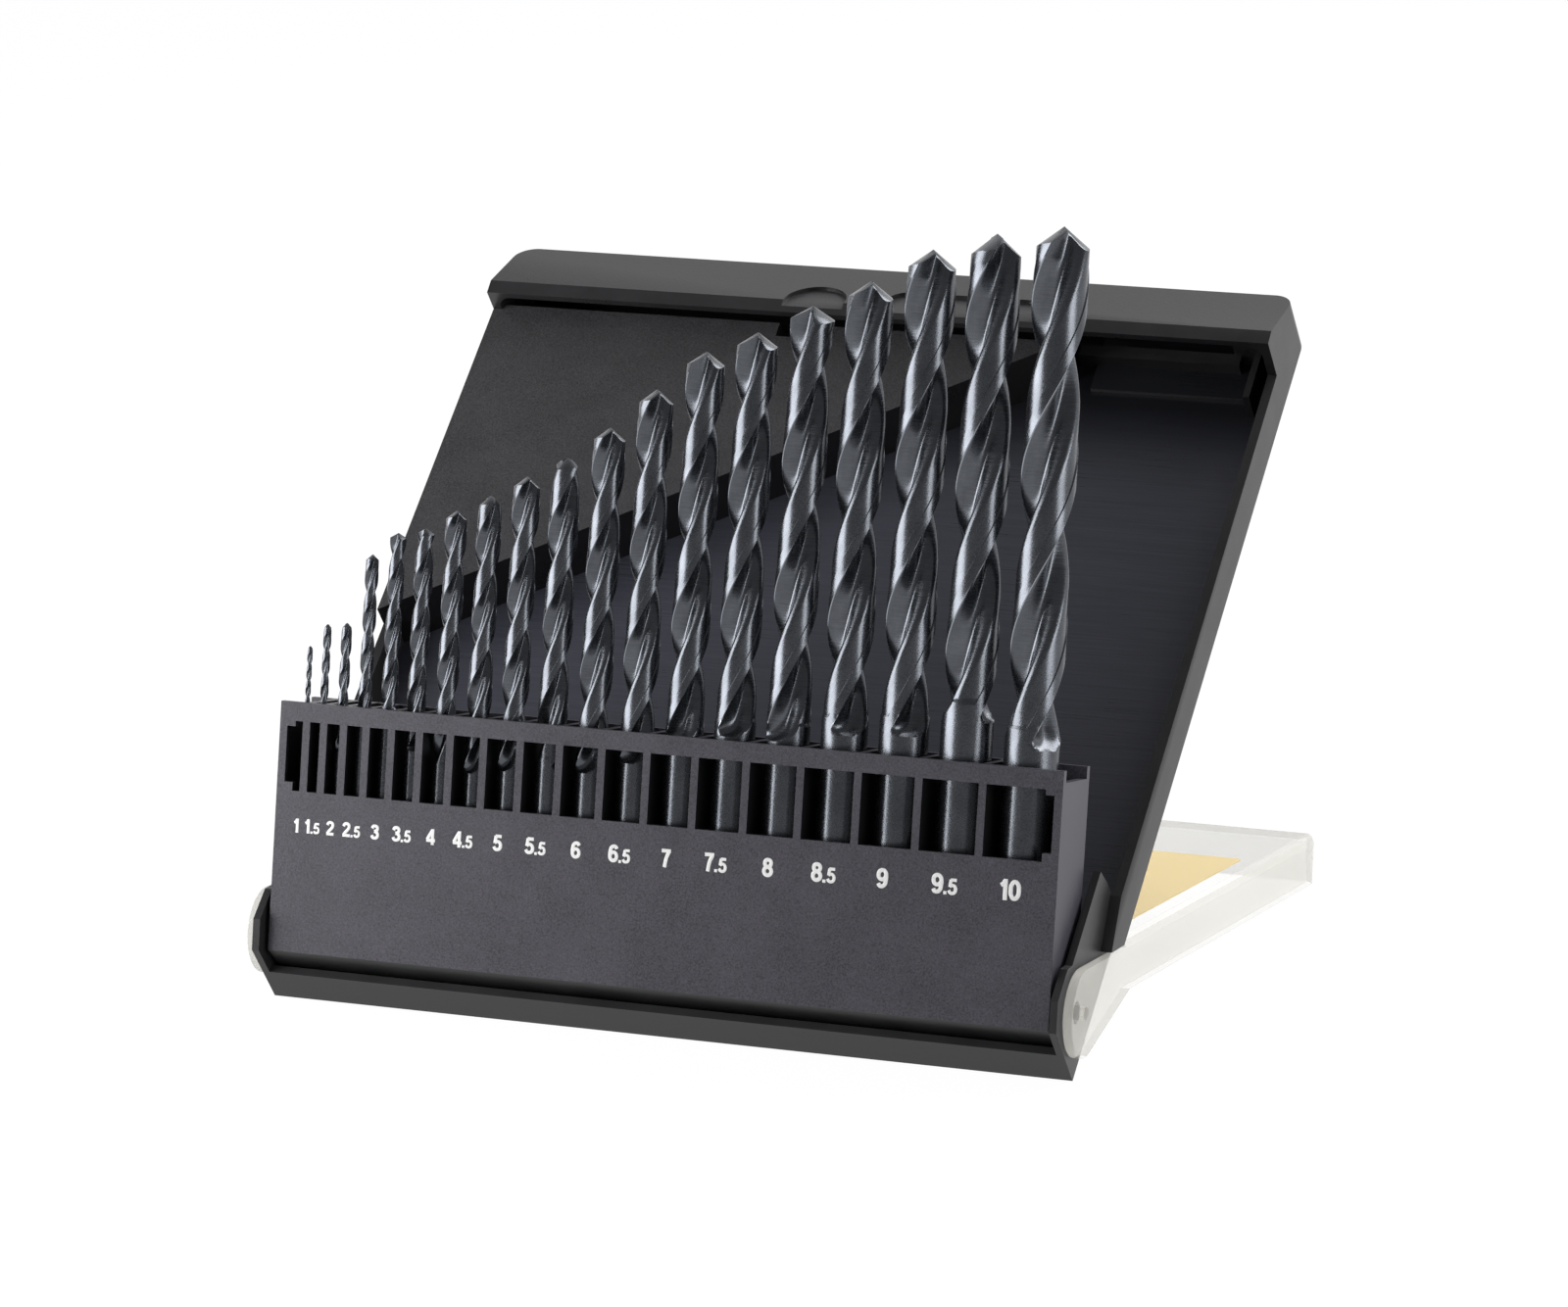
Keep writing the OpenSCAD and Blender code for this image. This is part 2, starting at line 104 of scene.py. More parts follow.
# The strokes of the figures in a box 0.6 wide and 1 high: their points, and whether they close.
SIX = [
    (0.49, 0.76), (0.43, 0.87), (0.31, 0.9), (0.17, 0.82), (0.11, 0.6), (0.1, 0.38), (0.15, 0.18),
    (0.3, 0.1), (0.45, 0.17), (0.5, 0.33), (0.45, 0.49), (0.31, 0.56), (0.17, 0.5), (0.11, 0.38),
]
FIGURES = {
    "0": [([(0.3, 0.9), (0.45, 0.78), (0.5, 0.5), (0.45, 0.22), (0.3, 0.1), (0.15, 0.22),
            (0.1, 0.5), (0.15, 0.78)], True)],
    "1": [([(0.33, 0), (0.33, 1)], False), ([(0.1, 0.69), (0.22, 0.77), (0.31, 0.92)], False)],
    "2": [([(0.09, 0.7), (0.15, 0.84), (0.3, 0.9), (0.45, 0.84), (0.49, 0.7), (0.42, 0.52),
            (0.25, 0.33), (0.1, 0.12)], False), ([(0.03, 0.1), (0.57, 0.1)], False)],
    "3": [([(0.09, 0.73), (0.16, 0.86), (0.29, 0.9), (0.43, 0.85), (0.47, 0.73), (0.41, 0.6),
            (0.24, 0.54)], False),
          ([(0.24, 0.54), (0.43, 0.48), (0.5, 0.31), (0.44, 0.15), (0.3, 0.1), (0.15, 0.14),
            (0.08, 0.28)], False)],
    "4": [([(0.43, 0), (0.43, 1)], False), ([(0.4, 0.93), (0.07, 0.33)], False),
          ([(0.01, 0.28), (0.6, 0.28)], False)],
    "5": [([(0.16, 0.9), (0.54, 0.9)], False), ([(0.19, 0.92), (0.13, 0.47)], False),
          ([(0.12, 0.5), (0.29, 0.58), (0.44, 0.52), (0.5, 0.35), (0.44, 0.16), (0.29, 0.1),
            (0.15, 0.14), (0.07, 0.27)], False)],
    "6": [(SIX, False)],
    "7": [([(0.04, 0.9), (0.57, 0.9)], False), ([(0.48, 0.88), (0.33, 0.5), (0.25, 0)], False)],
    "8": [([(0.3, 0.9), (0.43, 0.85), (0.47, 0.72), (0.42, 0.59), (0.3, 0.54), (0.18, 0.59),
            (0.13, 0.72), (0.17, 0.85)], True),
          ([(0.3, 0.53), (0.44, 0.46), (0.5, 0.31), (0.44, 0.16), (0.3, 0.1), (0.16, 0.16),
            (0.1, 0.31), (0.16, 0.46)], True)],
    "9": [([(0.6 - x, 1 - y) for x, y in SIX], False)],
    ".": [([(0.11, 0), (0.11, 0.2)], False)],
}
FIGURE_WIDTHS = {"1": 0.5, ".": 0.27}
FIGURE_WIDTH = 0.62
FIGURE_STROKE = 0.105
TAIL_SIZE = 0.8
INK_THICKNESS = 0.02 * MM
INK_LIFT = 0.005 * MM

# How far below the rack's top the numbers' middles lie under the first drill and how much less
# under the last, and how far right of its drill the first number stands, in mm.
NUMBER_LINE = 22.8
NUMBER_RISE = 0.9
NUMBER_SHIFT = 0.5

# The card: its thickness, how far its top lies below that of its solid, and its corners' rounding.
CARD_THICKNESS = 0.24 * MM
CARD_SINK = 0.05 * MM
CARD_CORNER = 1.2 * MM

# The cosines from which a face counts as facing a way or slanting towards it, and the one below
# which it stands across it.
FACING = 0.99
SLANTING = 0.7
ACROSS = 0.3

# Where the shell's materials change, in its own frame: y runs up its length, z out of the tray.
PAD_FACE = 13.3 * MM
BAND_START = 156 * MM
# Past UNDER_BAND and within the hollow's bounds, down-facing and standing faces get painted shade.
UNDER_BAND = 150 * MM
TRAY_START = 30 * MM
TRAY_LOW, TRAY_HIGH = 1 * MM, 3 * MM
HOLLOW_START, HOLLOW_END = 24 * MM, 168 * MM
HOLLOW_HALF_WIDTH = 77 * MM

# The camera that sees the case as the photograph does: its place from the hinge in mm, how far it
# looks down and is turned left in degrees, and its lens in mm.
CAMERA_PLACE = (426.6, -1064.45, 323.22)
CAMERA_DOWN = 12.967
CAMERA_LEFT = 20.770
CAMERA_LENS = 150

# Where things stand, taken from the frame's joints and its flat faces.
JOINTS = {joint["name"]: joint for joint in frame["joints"]}
HINGE = Vector(JOINTS["lid_hinge"]["pos_m"])
DRILL_AXIS = Vector(JOINTS["lift_10_0"]["axis"])
RACK_LEAN = math.atan2(DRILL_AXIS.y, DRILL_AXIS.z)
FOOT_AXIS = Vector(frame["record"]["mounts"][0]["axis"])
SHELL_TILT = math.atan2(-FOOT_AXIS.z, -FOOT_AXIS.y)
LID_LENGTH = 147.7 * MM
LID_TILT = math.asin(HINGE.z / LID_LENGTH)
HINGE_DEPTH = 8.8 * MM
RACK = Matrix.Translation(HINGE) @ Matrix.Rotation(-RACK_LEAN, 4, "X")
LID = Matrix.Translation(HINGE) @ Matrix.Rotation(-LID_TILT, 4, "X")
SHELL = (
    Matrix.Translation(HINGE)
    @ Matrix.Rotation(SHELL_TILT, 4, "X")
    @ Matrix.Translation((0, -HINGE_DEPTH, -HINGE_DEPTH))
)


# ---- Sizes and colours a user would change ---------------------------------------------------


def colour(name, description, default):
    return FloatVectorProperty(
        name=name, description=description, default=default, size=3, subtype="COLOR", min=0, max=1
    )


class DrillCaseColours(bpy.types.PropertyGroup):
    shell: colour("Shell", "Satin black of the shell's outside", (0.024, 0.024, 0.0255))
    pad: colour("Pad", "Matte black of the raised pad and the top band", (0.038, 0.037, 0.04))
    tray: colour("Tray", "Glossy black of the tray's floor", (0.044, 0.046, 0.06))
    rack: colour("Rack", "Grained black of the rack", (0.055, 0.053, 0.065))
    clear: colour("Lid", "Milky white of the clear lid", (0.89, 0.87, 0.8))
    card: colour("Card", "Yellow of the card in the lid", (0.98, 0.76, 0.33))
    # Inside is painted shade: a near-black for the cells, the hollow's walls and the underside of the band, where
    # the same plastic lies in shade.
    inside: colour("Inside", "Black inside the cells and under the band", (0.009, 0.009, 0.01))
    ink: colour("Numbers", "White of the printed size numbers", (0.86, 0.86, 0.85))
    steel: colour("Steel", "Blue-black of the drills' oxide finish", (0.09, 0.096, 0.108))


class DrillCaseSizes(bpy.types.PropertyGroup):
    shell_round: FloatProperty(
        name="Shell edges", description="Rounding of the shell's edges",
        default=0.4 * MM, min=0.05 * MM, max=0.6 * MM, unit="LENGTH", precision=5,
    )
    rack_round: FloatProperty(
        name="Rack edges", description="Rounding of the rack's edges",
        default=0.16 * MM, min=0.05 * MM, max=0.3 * MM, unit="LENGTH", precision=5,
    )
    lid_round: FloatProperty(
        name="Lid edges", description="Rounding of the lid's edges",
        default=0.25 * MM, min=0.05 * MM, max=0.5 * MM, unit="LENGTH", precision=5,
    )
    helix: FloatProperty(
        name="Helix", description="Angle of the drills' flutes",
        default=math.radians(27), min=math.radians(20), max=math.radians(40), subtype="ANGLE",
    )
    point: FloatProperty(
        name="Point", description="Angle of the drills' points",
        default=math.radians(118), min=math.radians(90), max=math.radians(140), subtype="ANGLE",
    )
    small_number: FloatProperty(
        name="First number", description="Height of the number under the smallest drill",
        default=2.6 * MM, min=1 * MM, max=4 * MM, unit="LENGTH", precision=5,
    )
    large_number: FloatProperty(
        name="Last number", description="Height of the number under the largest drill",
        default=3.8 * MM, min=1 * MM, max=5 * MM, unit="LENGTH", precision=5,
    )
    ring_turn: IntProperty(
        name="Turn per ring", description="Degrees that a drill's section turns between two rings",
        default=5, min=2, max=15,
    )


# ---- Materials -------------------------------------------------------------------------------


class Wire:
    """A node's output. Arithmetic on it adds Math nodes."""

    def __init__(self, sheet, socket):
        self.sheet = sheet
        self.socket = socket

    def _maths(self, operation, first, second=0.0):
        return self.sheet.node("Math", {"operation": operation}, {0: first, 1: second})

    def __add__(self, other):
        return self._maths("ADD", self, other)

    def __radd__(self, other):
        return self._maths("ADD", other, self)

    def __sub__(self, other):
        return self._maths("SUBTRACT", self, other)

    def __rsub__(self, other):
        return self._maths("SUBTRACT", other, self)

    def __mul__(self, other):
        return self._maths("MULTIPLY", self, other)

    def __rmul__(self, other):
        return self._maths("MULTIPLY", other, self)

    def most(self, other):
        return self._maths("MAXIMUM", self, other)


class Sheet:
    """A node tree that is being drawn."""

    def __init__(self, tree):
        self.tree = tree
        tree.nodes.clear()

    def node(self, kind, settings=(), sockets=(), output=0):
        made = self.tree.nodes.new("ShaderNode" + kind)
        for key, value in dict(settings).items():
            if key == "stops":
                ramp = made.color_ramp
                for element, (place, shade) in zip((ramp.elements[0], ramp.elements[1]), value):
                    element.position = place
                    element.color = (shade, shade, shade, 1)
            else:
                setattr(made, key, value)
        for key, value in dict(sockets).items():
            if isinstance(value, Wire):
                self.tree.links.new(value.socket, made.inputs[key])
            else:
                made.inputs[key].default_value = value
        return Wire(self, made.outputs[output]) if made.outputs else None

    def place(self, stretch=(1, 1, 1), attribute=None):
        """The point being shaded, in the object's or an attribute's coordinates, stretched."""
        if attribute:
            point = self.node("Attribute", {"attribute_name": attribute}, output="Vector")
        else:
            point = self.node("TexCoord", output="Object")
        return self.node("Mapping", {}, {"Vector": point, "Scale": stretch})

    def noise(self, point, scale, detail=3.0, roughness=0.55):
        return self.node(
            "TexNoise", {},
            {"Vector": point, "Scale": scale, "Detail": detail, "Roughness": roughness},
        )

    def ramp(self, value, low, high):
        """Value, spread so that low becomes 0 and high becomes 1."""
        return self.node("ValToRGB", {"stops": [(low, 0), (high, 1)]}, {"Fac": value})

    def blend(self, factor, first, second):
        return self.node(
            "Mix", {"data_type": "RGBA"}, {0: factor, 6: first, 7: second}, output=2
        )

    def bump(self, height, distance, strength=1.0):
        return self.node(
            "Bump", {}, {"Height": height, "Distance": distance, "Strength": strength}
        )


def solid(rgb, share=1.0):
    return (rgb[0] * share, rgb[1] * share, rgb[2] * share, 1)


def new_material(name, sockets):
    """A material whose Principled shader gets the sockets that the function sockets draws."""
    material = bpy.data.materials.new(name)
    material.use_nodes = True
    sheet = Sheet(material.node_tree)
    shader = sheet.node("BsdfPrincipled", {}, sockets(sheet))
    sheet.node("OutputMaterial", {}, {"Surface": shader})
    return material


def grained_plastic(name, rgb, shine=0.5, grain=0.34 * MM, depth=0.04 * MM):
    """Black plastic with the fine grain of a spark-eroded mould."""

    def sockets(sheet):
        point = sheet.place()
        fine = sheet.noise(point, 1 / grain, 2)
        cloudy = sheet.noise(point, 110, 5)
        shade = sheet.ramp(fine * 0.78 + cloudy * 0.22, 0.34, 0.66)
        return {
            "Base Color": sheet.blend(shade, solid(rgb, 0.6), solid(rgb, 1.4)),
            "Roughness": 0.42 + (fine - 0.5) * 0.3 + (cloudy - 0.5) * 0.14,
            "Specular IOR Level": shine,
            "Normal": sheet.bump(fine, depth),
        }

    return new_material(name, sockets)


def satin_plastic(name, rgb, roughness=0.36, shine=0.5):
    """Smooth black plastic, a little hazy, with faint handling marks."""

    def sockets(sheet):
        point = sheet.place()
        haze = sheet.noise(point, 140, 4)
        fine = sheet.noise(point, 2600, 2)
        shade = sheet.ramp(haze, 0.3, 0.7)
        return {
            "Base Color": sheet.blend(shade, solid(rgb, 0.9), solid(rgb, 1.15)),
            "Roughness": roughness + (haze - 0.5) * 0.14 + (fine - 0.5) * 0.06,
            "Specular IOR Level": shine,
            "Normal": sheet.bump(fine, 0.003 * MM),
        }

    return new_material(name, sockets)


def tray_plastic(name, rgb):
    """Polished black plastic, hazed by fine sideways lines, under a painted shade that darkens it and hides the
    lines towards the top band.
    """

    def sockets(sheet):
        lines = sheet.noise(sheet.place((30, 2200, 2200)), 1.6, 5, 0.7)
        haze = sheet.noise(sheet.place(), 45, 3)
        streak = sheet.ramp(lines, 0.38, 0.7)
        # Painted shade: towards the top, under the band, the colour falls to about a fifth of itself.
        height = sheet.node("SeparateXYZ", {}, {"Vector": sheet.place((8, 8, 8))}, output="Z")
        worn = sheet.blend(streak, solid(rgb, 0.86), solid(rgb, 1.25))
        return {
            "Base Color": sheet.blend(sheet.ramp(height, 0.69, 0.8), worn, solid(rgb, 0.22)),
            "Roughness": 0.28 + streak * 0.08 + (haze - 0.5) * 0.1,
            "Normal": sheet.bump(lines, 0.006 * MM),
        }

    return new_material(name, sockets)


def milky_plastic(name, rgb, haze, slanted, roughness):
    """Clear plastic with a haze of its own, stronger where it is seen at a slant."""

    def sockets(sheet):
        flow = sheet.noise(sheet.place(), 60, 3)
        slant = sheet.node("Fresnel", {}, {"IOR": 1.45})
        return {
            "Base Color": sheet.blend(sheet.ramp(flow, 0.3, 0.7), solid(rgb), solid(rgb, 0.97)),
            "Roughness": roughness + (flow - 0.5) * 0.06,
            "IOR": 1.49,
            "Alpha": haze + slant * slanted + (flow - 0.5) * 0.04,
            "Normal": sheet.bump(flow, 0.02 * MM, 0.5),
        }

    return new_material(name, sockets)


def card(name, rgb):
    """Coated card with a faint fibre."""

    def sockets(sheet):
        fibre = sheet.noise(sheet.place((900, 2600, 900)), 1.0, 4)
        shade = sheet.ramp(fibre, 0.3, 0.7)
        return {
            "Base Color": sheet.blend(shade, solid(rgb, 0.97), solid(rgb, 1.02)),
            "Roughness": 0.5 + (fibre - 0.5) * 0.2,
            "Normal": sheet.bump(fibre, 0.004 * MM),
        }

    return new_material(name, sockets)


def printed_ink(name, rgb):
    """Pad-printed white ink that lets a little of the grain through."""

    def sockets(sheet):
        grain = sheet.noise(sheet.place(), 3300, 2)
        return {
            "Base Color": sheet.blend(sheet.ramp(grain, 0.25, 0.5), solid(rgb, 0.86), solid(rgb)),
            "Roughness": 0.5 + (grain - 0.5) * 0.2,
            "Normal": sheet.bump(grain, 0.006 * MM),
        }

    return new_material(name, sockets)


def oxide_steel(name, rgb):
    """Steam-blackened steel: a fine sparkle outside, grinding lines across the flutes, and a painted highlight
    along the leading edges.
    """

    def sockets(sheet):
        in_flute = sheet.node("Attribute", {"attribute_name": "flute"}, output="Fac")
        painted_edge_glint = sheet.node("Attribute", {"attribute_name": "edge"}, output="Fac")
        sparkle = sheet.noise(sheet.place((1, 1, 0.5), "blank"), 6500, 2)
        ground = sheet.noise(sheet.place((260, 260, 3600), "blank"), 1.0, 4, 0.7)
        patches = sheet.noise(sheet.place((260, 260, 110), "blank"), 1.0, 3)
        lines = sparkle * (1 - in_flute) + ground * in_flute
        shade = sheet.ramp(lines * 0.5 + patches * 0.5, 0.36, 0.64)
        body = sheet.blend(shade, solid(rgb, 0.75), solid(rgb, 1.25))
        return {
            # Painted highlight: faces along the leading edge get three times the steel's colour.
            "Base Color": sheet.blend(painted_edge_glint, body, solid(rgb, 3)),
            "Metallic": 0.92,
            "Roughness": 0.26 + (lines - 0.5) * 0.2 - painted_edge_glint * 0.03,
            "Normal": sheet.bump(lines, 0.014 * MM),
        }

    return new_material(name, sockets)


# ---- Modelling helpers -----------------------------------------------------------------------


def work_on(piece):
    """Leaves piece the only selected object, and the active one."""
    bpy.ops.object.select_all(action="DESELECT")
    piece.select_set(True)
    bpy.context.view_layer.objects.active = piece


def apply_modifier(piece, kind, settings):
    modifier = piece.modifiers.new(kind.lower(), kind)
    for key, value in settings.items():
        setattr(modifier, key, value)
    work_on(piece)
    bpy.ops.object.modifier_apply(modifier=modifier.name)


def round_edges(piece, width, segments=2):
    """Rounds every edge that turns by more than the edge angle, and keeps the flat faces flat."""
    work_on(piece)
    bpy.ops.object.shade_smooth_by_angle(angle=EDGE_ANGLE)
    apply_modifier(piece, "BEVEL", {
        "width": width, "segments": segments, "limit_method": "ANGLE",
        "angle_limit": EDGE_ANGLE, "harden_normals": True, "use_clamp_overlap": True,
    })


def whole_faced_copy(node, name):
    """A copy of a CAD node with its triangles joined into whole faces."""
    piece = bpy.data.objects.new(name, frame["nodes"][node].data.copy())
    bpy.context.scene.collection.objects.link(piece)
    piece.data.materials.clear()
    work_on(piece)
    bpy.ops.object.mode_set(mode="EDIT")
    bpy.ops.mesh.select_all(action="SELECT")
    bpy.ops.mesh.remove_doubles(threshold=WELD)
    bpy.ops.mesh.dissolve_limited(angle_limit=FLAT_ANGLE)
    bpy.ops.object.mode_set(mode="OBJECT")
    return piece


def paint(piece, materials, choose):
    """Gives each face the material whose number the function choose returns for it."""
    for material in materials:
        piece.data.materials.append(material)
    for face in piece.data.polygons:
        face.material_index = choose(face)


def finish_piece(piece, body, node):
    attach(piece, body)
    if node:
        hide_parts(node)


# ---- Twist drills ----------------------------------------------------------------------------


def whole_section():
    return [(angle + half, share) for half in (0, 180) for angle, share in HALF_SECTION]


class TwistDrill:
    """One twist drill, built upright on its own axis and then stood in the rack."""

    def __init__(self, size, sizes):
        self.size = size
        self.sizes = sizes
        node = frame["nodes"]["drill_" + size]
        into_rack = RACK.inverted()
        corners = [into_rack @ vertex.co for vertex in node.data.vertices]
        low = Vector([min(c[k] for c in corners) for k in range(3)])
        high = Vector([max(c[k] for c in corners) for k in range(3)])
        self.length = high.z - low.z
        self.radius = (high.x - low.x) / 2
        self.foot = Vector(((low.x + high.x) / 2, (low.y + high.y) / 2, low.z))
        fluted, self.turn = DRILLS[size]
        self.flute_foot = self.length - fluted * MM
        self.shoulder = self.length - SHOULDER * self.radius
        self.runout = RUNOUT * self.radius
        self.twist_rate = math.tan(sizes.helix) / self.radius
        self.piece = None

    def untwisted(self, co):
        """A point of the drill as it would lie if the flutes ran straight."""
        turned = Matrix.Rotation(-self.twist_rate * co.z - math.radians(self.turn), 3, "Z")
        return turned @ Vector(co)

    def ring_heights(self):
        """Where the section is drawn: round the end of the flute, then evenly up to the point."""
        top = self.flute_foot + self.runout
        ring = math.radians(self.sizes.ring_turn) / self.twist_rate
        even = max(8, math.ceil((self.shoulder - top) / ring))
        foot = [top - self.runout * (1 - k / RUNOUT_RINGS) for k in range(RUNOUT_RINGS)]
        return foot + [top + (self.shoulder - top) * k / even for k in range(even + 1)]

    def section_point(self, angle, share, z):
        behind = angle % 180
        if behind <= FLUTE_START:
            kept = float(z > self.flute_foot + LAND_END * self.radius)
        else:
            aside = (behind - LIP_END) / SPOON_HALF_WIDTH
            foot = self.flute_foot + SPOON_ROUND * self.radius * aside ** 2
            sunk = min(1, max(0, foot + self.runout - z) / self.runout)
            kept = (1 - sunk ** 2) ** 0.6
        reach = self.radius * (1 - (1 - share) * kept)
        around = math.radians(angle + self.turn) + self.twist_rate * z
        return Vector((reach * math.cos(around), reach * math.sin(around), z))

    def tip_point(self, angle, share):
        """Where the section's corner lies on the relieved cone of the point."""
        behind = angle % 180
        if behind <= LEADING_EDGE:
            turned_back = LEADING_EDGE - behind
        elif behind <= LIP_END:
            turned_back = 0
        else:
            turned_back = LEADING_EDGE + 180 - behind
        fall = 1 / math.tan(self.sizes.point / 2) + RELIEF * math.radians(turned_back)
        z = self.length - self.radius * share * fall
        around = math.radians(angle + self.turn) + self.twist_rate * z
        reach = self.radius * share
        return Vector((reach * math.cos(around), reach * math.sin(around), z))

    def build(self):
        section = whole_section()
        count = len(section)
        bpy.ops.object.select_all(action="DESELECT")
        bpy.ops.mesh.primitive_circle_add(vertices=count, radius=self.radius, fill_type="NOTHING")
        self.piece = bpy.context.object
        self.piece.name = "twist_drill_" + self.size
        for vertex, (angle, share) in zip(self.piece.data.vertices, section):
            around = math.radians(angle)
            vertex.co = Vector((math.cos(around), math.sin(around), 0)) * self.radius * share
        heights = self.ring_heights()
        rise = self.shoulder - self.flute_foot
        rings = len(heights) - 1
        apply_modifier(self.piece, "SCREW", {
            "axis": "Z", "angle": self.twist_rate * rise, "screw_offset": rise, "steps": rings,
            "render_steps": rings, "use_merge_vertices": False, "use_normal_calculate": False,
        })
        vertices = self.piece.data.vertices
        for index, vertex in enumerate(vertices):
            ring, corner = divmod(index, count)
            angle, share = section[corner]
            vertex.co = self.section_point(angle, share, heights[ring])
        self.grind_point(section)
        self.draw_shank()
        self.close_up()
        self.mark_zones()
        self.piece.data.transform(RACK @ Matrix.Translation(self.foot))
        return self.piece

    def select_ring(self, z):
        bpy.ops.object.mode_set(mode="EDIT")
        bpy.ops.mesh.select_mode(type="VERT")
        bpy.ops.mesh.select_all(action="DESELECT")
        bpy.ops.object.mode_set(mode="OBJECT")
        for vertex in self.piece.data.vertices:
            vertex.select = abs(vertex.co.z - z) < WELD
        bpy.ops.object.mode_set(mode="EDIT")
        bpy.ops.mesh.select_mode(type="EDGE")

    def selected(self):
        return [vertex for vertex in self.piece.data.vertices if vertex.select]

    def grind_point(self, section):
        """Draws the top ring up to the relieved cone and closes it at the apex."""
        work_on(self.piece)
        self.select_ring(self.shoulder)
        bpy.ops.mesh.extrude_edges_move(TRANSFORM_OT_translate={"value": (0, 0, 0.1 * self.radius)})
        bpy.ops.object.mode_set(mode="OBJECT")
        corners = {}
        for vertex in self.selected():
            flat = vertex.co.copy()
            flat.z = self.shoulder
            corners[vertex.index] = min(
                section, key=lambda c: (self.section_point(c[0], c[1], self.shoulder) - flat).length
            )
        for index, (angle, share) in corners.items():
            self.piece.data.vertices[index].co = self.tip_point(angle, share)
        bpy.ops.object.mode_set(mode="EDIT")
        bpy.ops.mesh.edge_face_add()
        bpy.ops.mesh.poke()
        bpy.ops.object.mode_set(mode="OBJECT")
        apex = min(self.selected(), key=lambda vertex: vertex.co.xy.length)
        apex.co = (0, 0, self.length)

    def draw_shank(self):
        """Draws the bottom ring down into the plain shank with its chamfered end."""
        for z, share in ((CHAMFER * self.radius, 1), (0, CHAMFERED_END)):
            reach = self.radius * share
            lowest = min(vertex.co.z for vertex in self.piece.data.vertices)
            self.select_ring(lowest)
            bpy.ops.mesh.extrude_edges_move(
                TRANSFORM_OT_translate={"value": (0, 0, z - lowest)}
            )
            bpy.ops.object.mode_set(mode="OBJECT")
            for vertex in self.selected():
                out = vertex.co.xy.normalized() * reach
                vertex.co = (out.x, out.y, z)
        bpy.ops.object.mode_set(mode="EDIT")
        bpy.ops.mesh.edge_face_add()
        bpy.ops.object.mode_set(mode="OBJECT")

    def close_up(self):
        bpy.ops.object.mode_set(mode="EDIT")
        bpy.ops.mesh.select_all(action="SELECT")
        bpy.ops.mesh.normals_make_consistent(inside=False)
        bpy.ops.object.mode_set(mode="OBJECT")
        bpy.ops.object.shade_smooth_by_angle(angle=DRILL_EDGE_ANGLE)

    def lies_between(self, co, low, high):
        """1 where co lies on the fluted length, between two angles of the section, otherwise 0."""
        straight = self.untwisted(co)
        angle = math.degrees(math.atan2(straight.y, straight.x)) % 180
        fluted = self.flute_foot + 0.35 * self.runout < straight.z < self.shoulder
        return float(fluted and low < angle < high)

    def mark_zones(self):
        """Writes the attributes that the steel's material reads, among them the faces along the leading edge that
        carry its painted highlight.
        """
        mesh = self.piece.data
        blank = mesh.attributes.new("blank", "FLOAT_VECTOR", "POINT")
        blank.data.foreach_set(
            "vector", [x for vertex in mesh.vertices for x in self.untwisted(vertex.co)]
        )
        in_flute = [
            self.lies_between(vertex.co, FLUTE_START + 1, FLUTE_END) for vertex in mesh.vertices
        ]
        painted_edge_glint = [
            self.lies_between(face.center, LEADING_EDGE - 1, FLUTE_START) for face in mesh.polygons
        ]
        mesh.attributes.new("flute", "FLOAT", "POINT").data.foreach_set("value", in_flute)
        mesh.attributes.new("edge", "FLOAT", "FACE").data.foreach_set("value", painted_edge_glint)


# ---- Operators -------------------------------------------------------------------------------


class DRILLCASE_OT_shell(bpy.types.Operator):
    """Rounds and finishes the leaning back shell"""

    bl_idname = "drill_case.shell"
    bl_label = "Back Shell"

    def execute(self, context):
        colours, sizes = context.scene.drill_case_colours, context.scene.drill_case_sizes
        piece = whole_faced_copy("back_shell", "shell_moulding")
        round_edges(piece, sizes.shell_round)
        materials = [
            satin_plastic("shell_satin", colours.shell, shine=0.24),
            grained_plastic("pad_grain", colours.pad),
            tray_plastic("tray_gloss", colours.tray),
            # The last material is painted shade: a near-black for the places chosen below.
            satin_plastic("shell_painted_shade", colours.inside, roughness=0.3),
        ]
        into_shell = SHELL.inverted()
        out = (SHELL.to_3x3() @ Vector((0, 0, 1))).normalized()
        down = (SHELL.to_3x3() @ Vector((0, -1, 0))).normalized()

        def choose(face):
            place = into_shell @ face.center
            level = face.normal.dot(out)
            pad = level > FACING and abs(place.z - PAD_FACE) < 0.1 * MM
            band = SLANTING < level < FACING and place.y > BAND_START
            if pad or band:
                return 1
            if level > FACING and TRAY_LOW < place.z < TRAY_HIGH and place.y > TRAY_START:
                return 2
            # Painted shade: faces under the band that face down get the near-black inside colour.
            if place.y > UNDER_BAND and face.normal.dot(down) > SLANTING:
                return 3
            # Painted shade: the standing walls of the hollow, from the tray floor up to the pad face, get the same
            # near-black.
            lowest = min((into_shell @ piece.data.vertices[i].co).z for i in face.vertices)
            in_length = HOLLOW_START < place.y < HOLLOW_END
            in_width = abs(place.x) < HOLLOW_HALF_WIDTH
            in_depth = TRAY_LOW < lowest and place.z < PAD_FACE - 0.05 * MM
            return 3 if in_length and in_width and in_depth and abs(level) < ACROSS else 0

        paint(piece, materials, choose)
        finish_piece(piece, "shell", "back_shell")
        return {"FINISHED"}


